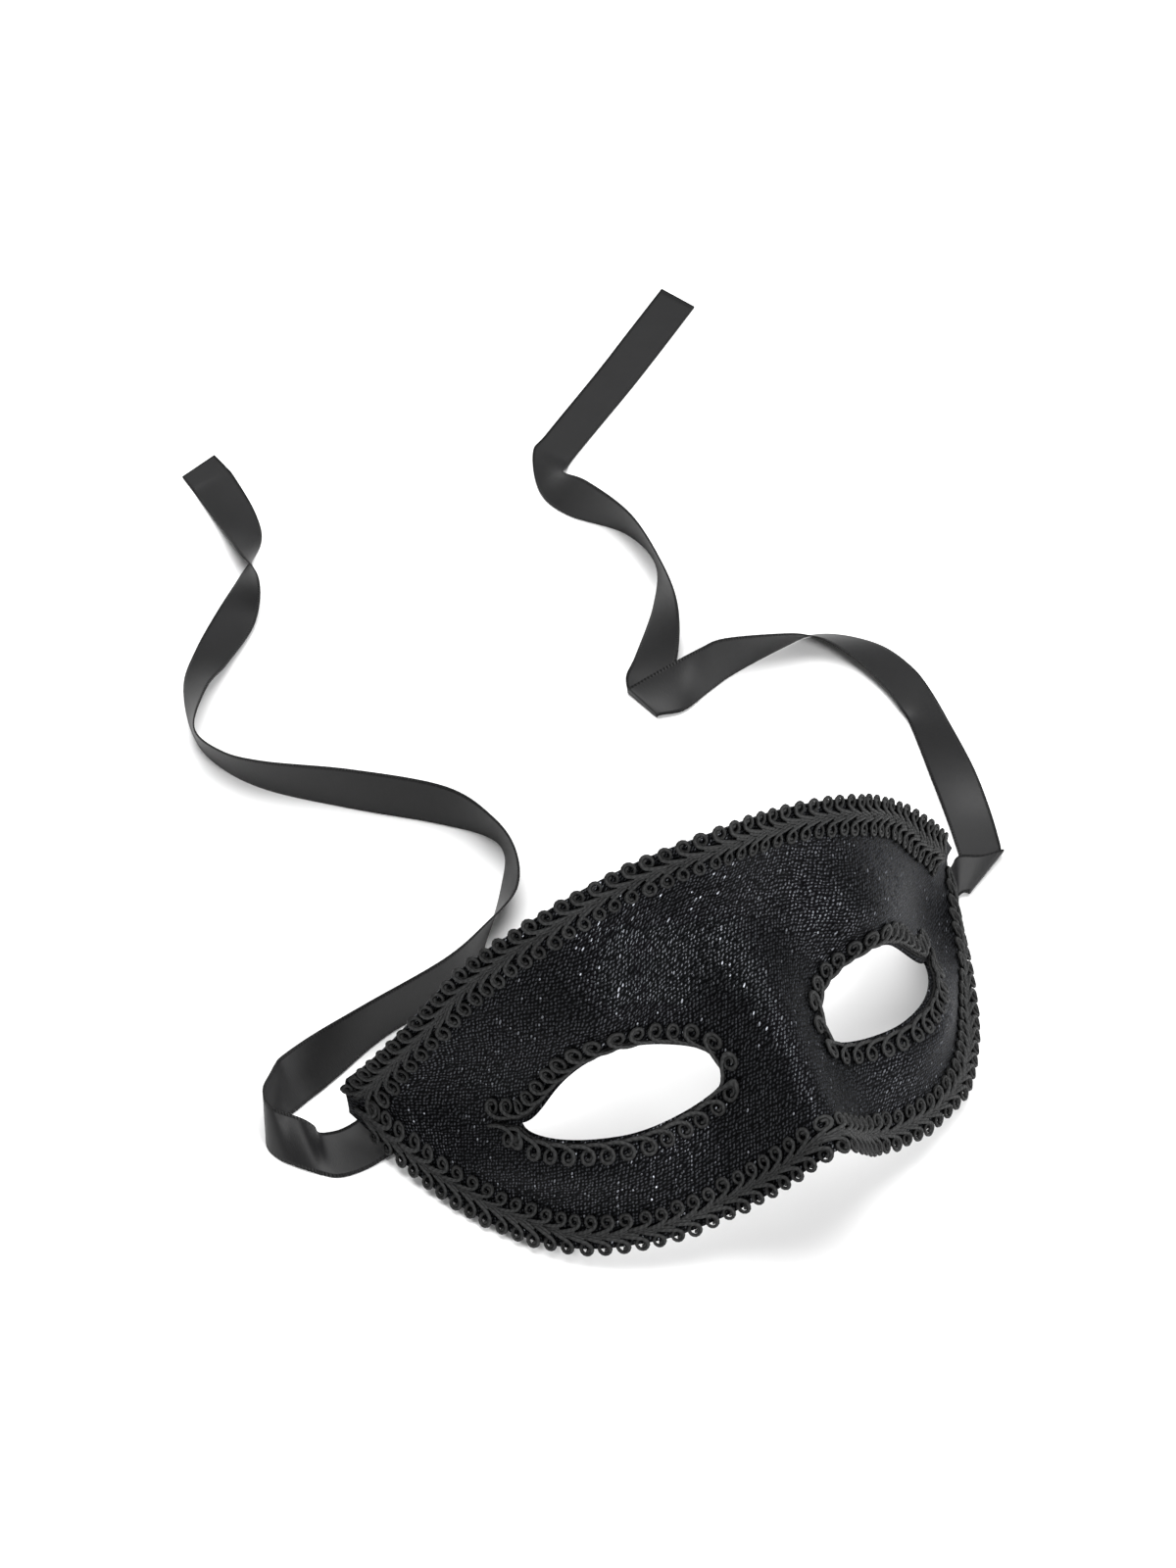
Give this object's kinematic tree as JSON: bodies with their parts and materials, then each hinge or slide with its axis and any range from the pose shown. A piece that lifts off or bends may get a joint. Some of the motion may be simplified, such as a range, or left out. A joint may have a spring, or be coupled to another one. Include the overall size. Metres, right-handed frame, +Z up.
{
  "type": "half-face eye mask with ribbon ties",
  "caption": "Moulded half-face eye mask covered in dark shimmering knit, edged with looped gimp braid, with a satin ribbon tie at each temple, lying face up.",
  "frame": {"origin": "bottom centre of the mask without its ribbons, on the surface that it lies on", "axes": "+X across the mask towards the temple on the viewer's right, +Y from the nose towards the forehead, +Z up, out of the face of the lying mask"},
  "size_m": [0.2647, 0.3701, 0.0924],
  "materials": {
    "shimmer_knit": "fine dark knit with a metallic shimmer, stretched over a stiff moulded shell",
    "gimp_braid": "matt twisted cord worked into rows of loops",
    "satin_ribbon": "soft gloss satin with woven selvages"
  },
  "bodies": {
    "root": {"mask_shell": "shimmer_knit", "upper_edge_braid": "gimp_braid", "lower_edge_braid": "gimp_braid", "left_eye_braid": "gimp_braid", "right_eye_braid": "gimp_braid", "left_ribbon": "satin_ribbon", "right_ribbon": "satin_ribbon"}
  },
  "joints": []
}
